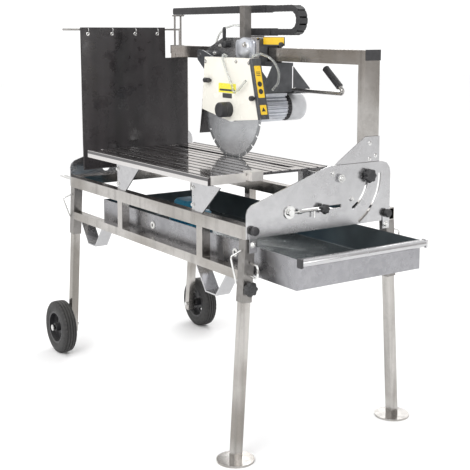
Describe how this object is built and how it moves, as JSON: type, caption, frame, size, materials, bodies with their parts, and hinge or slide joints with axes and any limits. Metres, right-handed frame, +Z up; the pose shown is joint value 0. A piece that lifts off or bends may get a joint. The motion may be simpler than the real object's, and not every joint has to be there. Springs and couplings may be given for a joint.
{
  "type": "tile cutter",
  "caption": "Wheeled bridge wet saw for tile and stone: tilting beam, sliding motor head with diamond blade, grooved table and pull-out water tray.",
  "frame": {"origin": "centre of the bounding box on the floor", "axes": "+X towards the operator's end where the tray pulls out, +Y to the far side behind the beam, +Z up"},
  "size_m": [1.556, 0.7496, 1.374],
  "materials": {
    "galvanised": "galvanised",
    "black_plastic": "moulded",
    "tyre_rubber": "ribbed",
    "black_rubber": "sheet",
    "table_aluminium": "milled",
    "tray_sheet": "galvanised sheet",
    "pump_blue": "moulded",
    "guard_cream": "gloss paint",
    "motor_grey": "cast and finned",
    "fan_grey": "satin paint",
    "dark_sheet": "satin",
    "bright_steel": "polished",
    "blade_steel": "ground",
    "clear_hose": "soft clear plastic",
    "dark_hose": "smooth"
  },
  "bodies": {
    "stand": {"upper_rail_near": "galvanised", "upper_rail_far": "galvanised", "lower_rail_near": "galvanised", "lower_rail_far": "galvanised", "window_posts": "galvanised", "cross_members": "galvanised", "leg_sleeves": "galvanised", "rear_legs": "galvanised", "wheel_axles": "bright_steel", "transport_skids": "galvanised", "end_plate_front": "galvanised", "end_plate_rear": "galvanised", "plate_fittings": "galvanised", "plate_knobs": "black_plastic", "stop_rod": "bright_steel", "wire_bails": "bright_steel", "table_top": "table_aluminium", "table_rubber": "black_rubber", "table_brackets": "galvanised", "table_fence": "table_aluminium"},
    "wheel_near": {"tyre_near": "tyre_rubber", "wheel_hub_near": "black_plastic"},
    "wheel_far": {"tyre_far": "tyre_rubber", "wheel_hub_far": "black_plastic"},
    "leg_near": {"front_leg_near": "galvanised"},
    "leg_far": {"front_leg_far": "galvanised"},
    "leg_clamp_near": {"leg_knob_near": "black_plastic"},
    "leg_clamp_far": {"leg_knob_far": "black_plastic"},
    "side_stop": {"stop_knob": "black_plastic"},
    "tray": {"tray_box": "tray_sheet", "tray_fittings": "tray_sheet", "pump": "pump_blue", "pump_hose": "dark_hose"},
    "bridge": {"bridge_beam": "galvanised", "bridge_uprights": "galvanised", "beam_caps": "black_plastic", "tilt_arms": "galvanised", "curtain": "black_rubber", "curtain_rod": "bright_steel", "chain_post": "galvanised", "chain_fixed_run": "black_plastic"},
    "tilt_clamp": {"tilt_knob": "black_plastic"},
    "chain": {"chain_loop": "black_plastic"},
    "saddle": {"carriage": "galvanised", "slide_pads": "black_plastic", "swing_cage": "dark_sheet", "chain_bracket": "galvanised", "chain_carriage_run": "black_plastic", "feed_hose": "clear_hose"},
    "head_clamp": {"clamp_lever": "black_plastic"},
    "head": {"head_arm": "dark_sheet", "blade_guard": "guard_cream", "guard_fittings": "black_plastic", "motor": "motor_grey", "fan_cover": "fan_grey", "handle_bar": "bright_steel", "handle_grip": "black_plastic", "water_hoses": "clear_hose"},
    "saw_blade": {"blade": "blade_steel", "blade_arbor": "bright_steel"}
  },
  "joints": [
    {"name": "wheel_near_spin", "type": "hinge", "parent": "stand", "child": "wheel_near", "pos_m": [-0.67401, -0.3285, 0.104], "axis": [0, 1, 0], "continuous": true},
    {"name": "wheel_far_spin", "type": "hinge", "parent": "stand", "child": "wheel_far", "pos_m": [-0.67401, 0.3285, 0.104], "axis": [0, 1, 0], "continuous": true},
    {"name": "leg_near_slide", "type": "slide", "parent": "stand", "child": "leg_near", "axis": [0, -0.061, -0.9981], "range_m": [0, 0.06]},
    {"name": "leg_far_slide", "type": "slide", "parent": "stand", "child": "leg_far", "axis": [0, 0.061, -0.9981], "range_m": [0, 0.06]},
    {"name": "leg_knob_near_turn", "type": "hinge", "parent": "stand", "child": "leg_clamp_near", "pos_m": [0.5933, -0.28485, 0.53], "axis": [1, 0, 0], "range_deg": [-180, 180]},
    {"name": "leg_knob_far_turn", "type": "hinge", "parent": "stand", "child": "leg_clamp_far", "pos_m": [0.5933, 0.28485, 0.53], "axis": [1, 0, 0], "range_deg": [-180, 180]},
    {"name": "stop_slide", "type": "slide", "parent": "stand", "child": "side_stop", "axis": [0, 1, 0], "range_m": [0, 0.07]},
    {"name": "tray_slide", "type": "slide", "parent": "stand", "child": "tray", "axis": [1, 0, 0], "range_m": [-0.175, 0.35]},
    {"name": "bridge_tilt", "type": "hinge", "parent": "stand", "child": "bridge", "pos_m": [-0.026, 0.058, 0.83], "axis": [-1, 0, 0], "range_deg": [0, 45]},
    {"name": "tilt_knob_turn", "type": "hinge", "parent": "bridge", "child": "tilt_clamp", "pos_m": [0.594, 0.17, 0.83], "axis": [1, 0, 0], "range_deg": [-180, 180]},
    {"name": "saddle_slide", "type": "slide", "parent": "bridge", "child": "saddle", "axis": [1, 0, 0], "range_m": [-0.285, 0.215]},
    {"name": "chain_follow", "type": "slide", "parent": "bridge", "child": "chain", "axis": [1, 0, 0], "range_m": [-0.1425, 0.1075]},
    {"name": "head_clamp_turn", "type": "hinge", "parent": "saddle", "child": "head_clamp", "pos_m": [-0.141, 0.112, 1.234], "axis": [0, 1, 0], "range_deg": [-60, 60]},
    {"name": "head_raise", "type": "hinge", "parent": "saddle", "child": "head", "pos_m": [-0.266, 0.1, 1.193], "axis": [0, -1, 0], "range_deg": [0, 8]},
    {"name": "blade_spin", "type": "hinge", "parent": "head", "child": "saw_blade", "pos_m": [-0.011, 0.058, 1.005], "axis": [0, 1, 0], "continuous": true}
  ],
  "couplings": [
    {"joint": "chain_follow", "follows": "saddle_slide", "ratio": 0.5}
  ]
}
